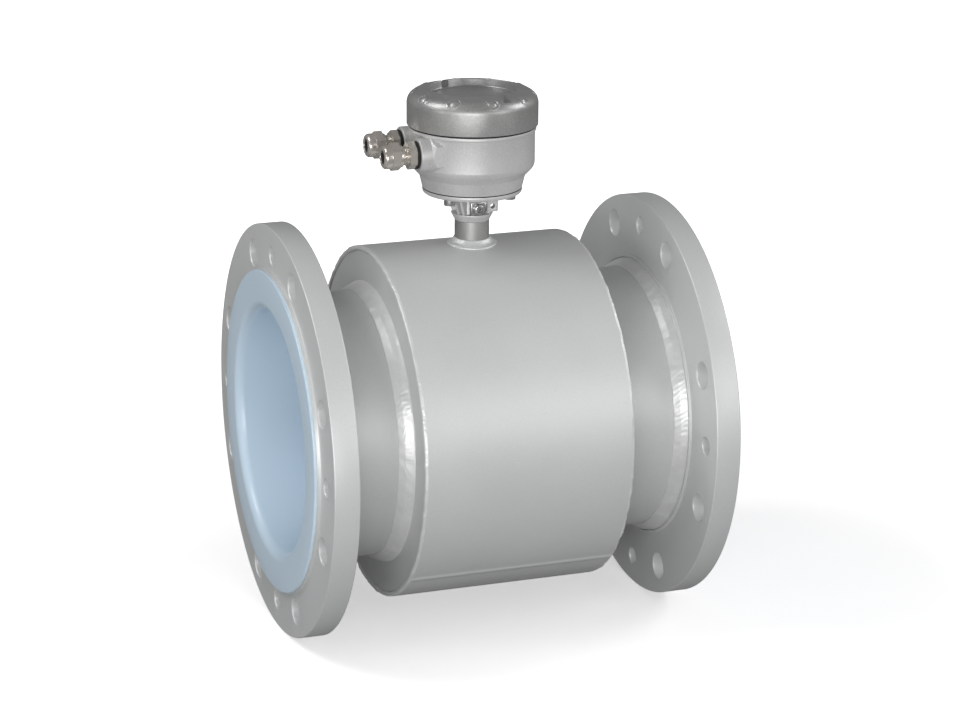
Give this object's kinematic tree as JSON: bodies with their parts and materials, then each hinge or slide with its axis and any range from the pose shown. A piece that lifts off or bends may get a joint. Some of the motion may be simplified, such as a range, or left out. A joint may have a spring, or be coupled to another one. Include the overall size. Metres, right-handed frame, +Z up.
{
  "type": "electromagnetic flow meter",
  "caption": "Flanged in-line flow sensor: lined steel tube, welded coil housing, and a round terminal housing with a screw cover and cable glands on a short neck.",
  "frame": {"origin": "on the pipe axis, midway between the two sealing faces", "axes": "+X along the pipe from the inlet to the outlet (the cable glands point to the inlet), +Z up through the neck to the terminal housing, -Y the front"},
  "size_m": [0.35, 0.34, 0.4448],
  "materials": {
    "silver_paint": "fine-grained silver-grey metallic paint, satin",
    "satin_casting": "satin silver coating over cast aluminium",
    "plated_brass": "polished nickel plating over brass",
    "black_rubber": "matt black",
    "plain_steel": "bright",
    "dark_iron": "dull",
    "copper_winding": "enamelled copper wire",
    "moulded_plastic": "matt",
    "lead_sheath": "matt",
    "blue_lining": "smooth light blue, semi-gloss"
  },
  "bodies": {
    "sensor": {"measuring_tube": "silver_paint", "inlet_flange": "silver_paint", "outlet_flange": "silver_paint", "inlet_flange_weld": "silver_paint", "outlet_flange_weld": "silver_paint", "housing_shell": "silver_paint", "inlet_end_plate": "silver_paint", "outlet_end_plate": "silver_paint", "inlet_edge_weld": "silver_paint", "outlet_edge_weld": "silver_paint", "inlet_plate_weld": "silver_paint", "outlet_plate_weld": "silver_paint", "neck_tube": "silver_paint", "neck_weld": "silver_paint", "head_base": "satin_casting", "terminal_housing": "satin_casting", "front_entry_socket": "satin_casting", "rear_entry_socket": "satin_casting", "front_gland_body": "plated_brass", "rear_gland_body": "plated_brass", "base_gasket": "black_rubber", "front_gland_washer": "black_rubber", "rear_gland_washer": "black_rubber", "head_screws": "plain_steel", "inner_ground_screw": "plain_steel", "terminal_screws": "plain_steel", "yoke_screws": "plain_steel", "front_electrode": "plain_steel", "rear_electrode": "plain_steel", "front_electrode_nut": "plain_steel", "rear_electrode_nut": "plain_steel", "upper_pole_shoe": "dark_iron", "lower_pole_shoe": "dark_iron", "upper_pole_core": "dark_iron", "lower_pole_core": "dark_iron", "front_yoke": "dark_iron", "rear_yoke": "dark_iron", "upper_coil": "copper_winding", "lower_coil": "copper_winding", "front_electrode_bush": "moulded_plastic", "rear_electrode_bush": "moulded_plastic", "terminal_block": "moulded_plastic", "electrode_leads": "lead_sheath", "coil_leads": "lead_sheath", "coil_links": "lead_sheath", "liner": "blue_lining"},
    "cover_seal": {"cover_seal": "black_rubber"},
    "cover": {"cover": "satin_casting"},
    "front_insert": {"front_gland_insert": "black_rubber"},
    "front_nut": {"front_gland_nut": "plated_brass"},
    "rear_insert": {"rear_gland_insert": "black_rubber"},
    "rear_nut": {"rear_gland_nut": "plated_brass"},
    "saddle": {"ground_saddle": "plain_steel"},
    "ground_screw": {"ground_screw": "plain_steel"}
  },
  "joints": [
    {"name": "cover_travel", "type": "slide", "parent": "sensor", "child": "cover_seal", "axis": [0, 0, 1], "range_m": [0, 0.01]},
    {"name": "cover_turn", "type": "hinge", "parent": "cover_seal", "child": "cover", "pos_m": [0, 0, 0.2452], "axis": [0, 0, 1], "range_deg": [0, 1801.8]},
    {"name": "front_gland_travel", "type": "slide", "parent": "sensor", "child": "front_insert", "axis": [-1, 0, 0], "range_m": [0, 0.006]},
    {"name": "front_gland_turn", "type": "hinge", "parent": "front_insert", "child": "front_nut", "pos_m": [-0.0679, -0.022, 0.2275], "axis": [-1, 0, 0], "range_deg": [0, 1468.8]},
    {"name": "rear_gland_travel", "type": "slide", "parent": "sensor", "child": "rear_insert", "axis": [-1, 0, 0], "range_m": [0, 0.006]},
    {"name": "rear_gland_turn", "type": "hinge", "parent": "rear_insert", "child": "rear_nut", "pos_m": [-0.0679, 0.022, 0.2275], "axis": [-1, 0, 0], "range_deg": [0, 1468.8]},
    {"name": "earth_clamp_travel", "type": "slide", "parent": "sensor", "child": "saddle", "axis": [0, -1, 0], "range_m": [0, 0.0032]},
    {"name": "earth_clamp_turn", "type": "hinge", "parent": "saddle", "child": "ground_screw", "pos_m": [0, -0.017, 0.1775], "axis": [0, -1, 0], "range_deg": [0, 1555.2]}
  ],
  "couplings": [
    {"joint": "cover_turn", "follows": "cover_travel", "rad_per_m": 3141.6},
    {"joint": "front_gland_turn", "follows": "front_gland_travel", "rad_per_m": 4188.8},
    {"joint": "rear_gland_turn", "follows": "rear_gland_travel", "rad_per_m": 4188.8},
    {"joint": "earth_clamp_turn", "follows": "earth_clamp_travel", "rad_per_m": 7854}
  ]
}
